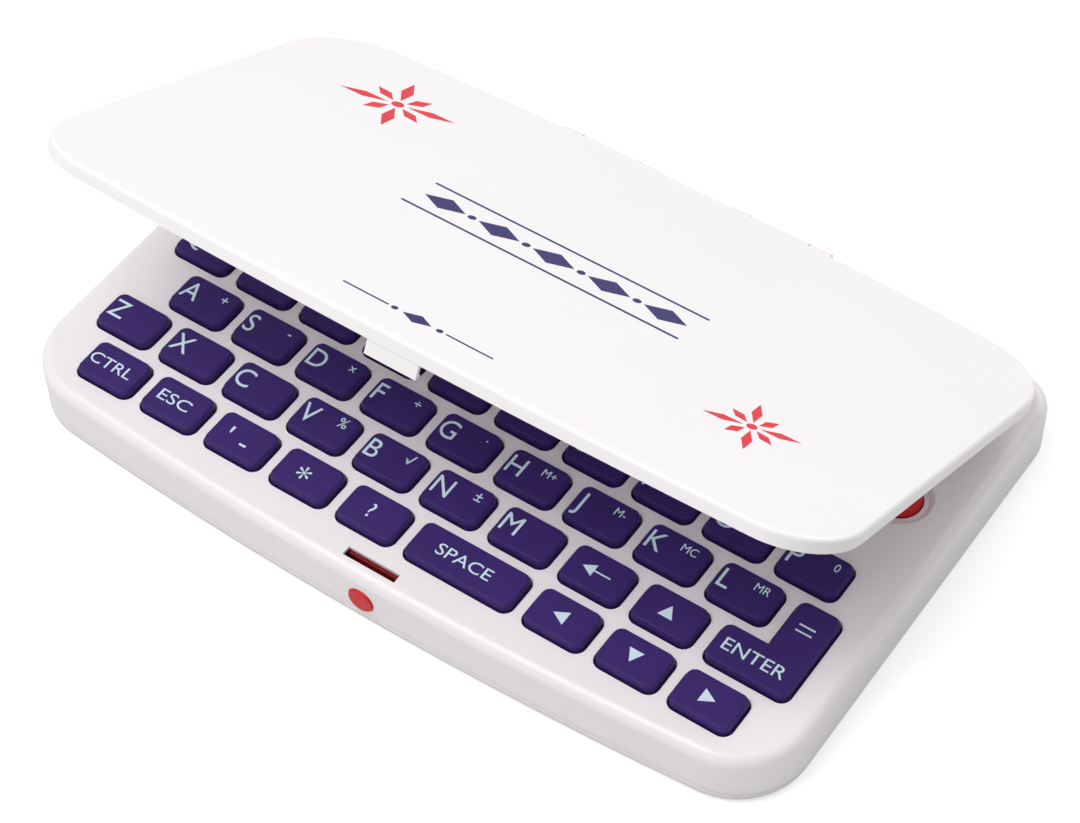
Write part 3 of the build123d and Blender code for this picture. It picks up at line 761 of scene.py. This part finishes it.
def star(settings):
    # narrow lozenges about a disc, long and short in turn
    bm = bmesh.new()
    middle = Vector((*settings["middle"], 0))
    for number in range(starShared["rays"]):
        length = settings["short"] if number % 2 else settings["long"]
        angle = starShared["turn"] + number * 360 / starShared["rays"]
        reach = settings["disc"] * starShared["start"] + length / 2
        out = Matrix.Rotation(radians(angle), 3, "Z") @ Vector((reach, 0, 0))
        addCopy(bm, lozenge, (middle + out)[:2], (length, settings["wide"]), angle)
    addCopy(bm, disc, middle[:2], (settings["disc"], settings["disc"]))
    return bm


for name, settings in starSettings.items():
    putOnLid(name, star(settings), redInk)
print("lid print done")


# the dark border is printed on the back of the display's pane
borderSettings = {"width": 4.2, "edge": 0.3, "lift": 0.02}  # mm


def windowBorder(size, settings):
    bm = bmesh.new()
    addCopy(bm, square, size=size)
    bmesh.ops.inset_region(
        bm, faces=bm.faces[:], thickness=settings["width"], use_boundary=True, use_even_offset=True
    )
    middleFace = min(bm.faces, key=lambda f: f.calc_center_median().length)
    bmesh.ops.delete(bm, geom=[middleFace], context="FACES")
    return bm


low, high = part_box("display_window")
borderSize = [(high[axis] - low[axis]) / mm - 2 * borderSettings["edge"] for axis in (0, 1)]
borderHeight = low.z + borderSettings["lift"] * mm
borderPlace = Matrix.Translation(((low.x + high.x) / 2, (low.y + high.y) / 2, borderHeight))
borderPrint = windowBorder(borderSize, borderSettings)
finishPrint("window_border", borderPrint, borderPlace, borderInk, "base")
print("display border printed")


floorSettings = {
    "size": 4.0,  # metres
    "drop": 0.00002,  # under the feet
    "colour": (0.80, 0.80, 0.80),
    "pale": 0.985,
    "lift": 0.45,  # added for the camera alone
    "near": 0.003,
    "roughness": 0.9,
}


def mathNode(tree, operation, first, second):
    node = tree.nodes.new("ShaderNodeMath")
    node.operation = operation
    for socket, value in zip(node.inputs, (first, second)):
        if isinstance(value, (int, float)):
            socket.default_value = value
        else:
            tree.links.new(value, socket)
    return node.outputs["Value"]


def addFloor(settings, height):
    material, tree, shader = startMaterial("floor_white")
    point = objectPoint(tree)
    cloud = noise(tree, point, 3, 2)
    pale = tuple(settings["pale"] * part for part in settings["colour"])
    tint = blendColours(tree, cloud, settings["colour"], pale)
    tree.links.new(tint, shader.inputs["Base Color"])
    shader.inputs["Roughness"].default_value = settings["roughness"]
    shader.inputs["Specular IOR Level"].default_value = 0.0
    path = tree.nodes.new("ShaderNodeLightPath")
    shader.inputs["Emission Color"].default_value = (1, 1, 1, 1)
    lift = mathNode(tree, "MULTIPLY", path.outputs["Is Camera Ray"], settings["lift"])
    tree.links.new(lift, shader.inputs["Emission Strength"])
    # from below the floor is clear, and so it is to light that leaves the underside
    sides = tree.nodes.new("ShaderNodeNewGeometry")
    near = mathNode(tree, "LESS_THAN", path.outputs["Ray Length"], settings["near"])
    unseen = mathNode(tree, "SUBTRACT", 1, path.outputs["Is Camera Ray"])
    leaving = mathNode(tree, "MULTIPLY", near, unseen)
    clear = mathNode(tree, "MAXIMUM", leaving, sides.outputs["Backfacing"])
    tree.links.new(mathNode(tree, "SUBTRACT", 1, clear), shader.inputs["Alpha"])
    bm = bmesh.new()
    bmesh.ops.create_grid(bm, x_segments=1, y_segments=1, size=settings["size"])
    bmesh.ops.translate(bm, verts=bm.verts, vec=(0, 0, height))
    mesh = bpy.data.meshes.new("floor")
    bm.to_mesh(mesh)
    bm.free()
    floor = bpy.data.objects.new("floor", mesh)
    mesh.materials.append(material)
    bpy.context.scene.collection.objects.link(floor)


addFloor(floorSettings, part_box("rubber_feet")[0].z - floorSettings["drop"])

worldSettings = {"fill": 0.42}


def addWorld(settings):
    world = bpy.data.worlds.new("studio")
    world.use_nodes = True
    tree = world.node_tree
    background = tree.nodes["Background"]
    background.inputs["Color"].default_value = (1, 1, 1, 1)
    path = tree.nodes.new("ShaderNodeLightPath")
    seen = mathNode(tree, "MAXIMUM", path.outputs["Is Camera Ray"], path.outputs["Is Transmission Ray"])
    tree.links.new(spread(tree, seen, 0, 1, settings["fill"], 1), background.inputs["Strength"])
    bpy.context.scene.world = world


addWorld(worldSettings)

lampSettings = {  # metres and watts
    "lamp_over": {"place": (-0.22, -0.24, 0.75), "size": 0.5, "power": 4.0},
    "lamp_front": {"place": (0.2, -0.8, 0.25), "size": 0.6, "power": 0.35},
    "lamp_back": {"place": (0.15, 0.75, 0.6), "size": 0.6, "power": 2.7},
}


def addLamp(name, settings):
    data = bpy.data.lights.new(name, "AREA")
    data.shape = "SQUARE"
    data.size = settings["size"]
    data.energy = settings["power"]
    lamp = bpy.data.objects.new(name, data)
    bpy.context.scene.collection.objects.link(lamp)
    place = Vector(settings["place"])
    turn = (-place).to_track_quat("-Z", "Y").to_matrix().to_4x4()
    lamp.matrix_world = Matrix.Translation(place) @ turn


for name, settings in lampSettings.items():
    addLamp(name, settings)

bpy.context.scene.view_settings.view_transform = "Standard"
print("floor, world and lamps set")
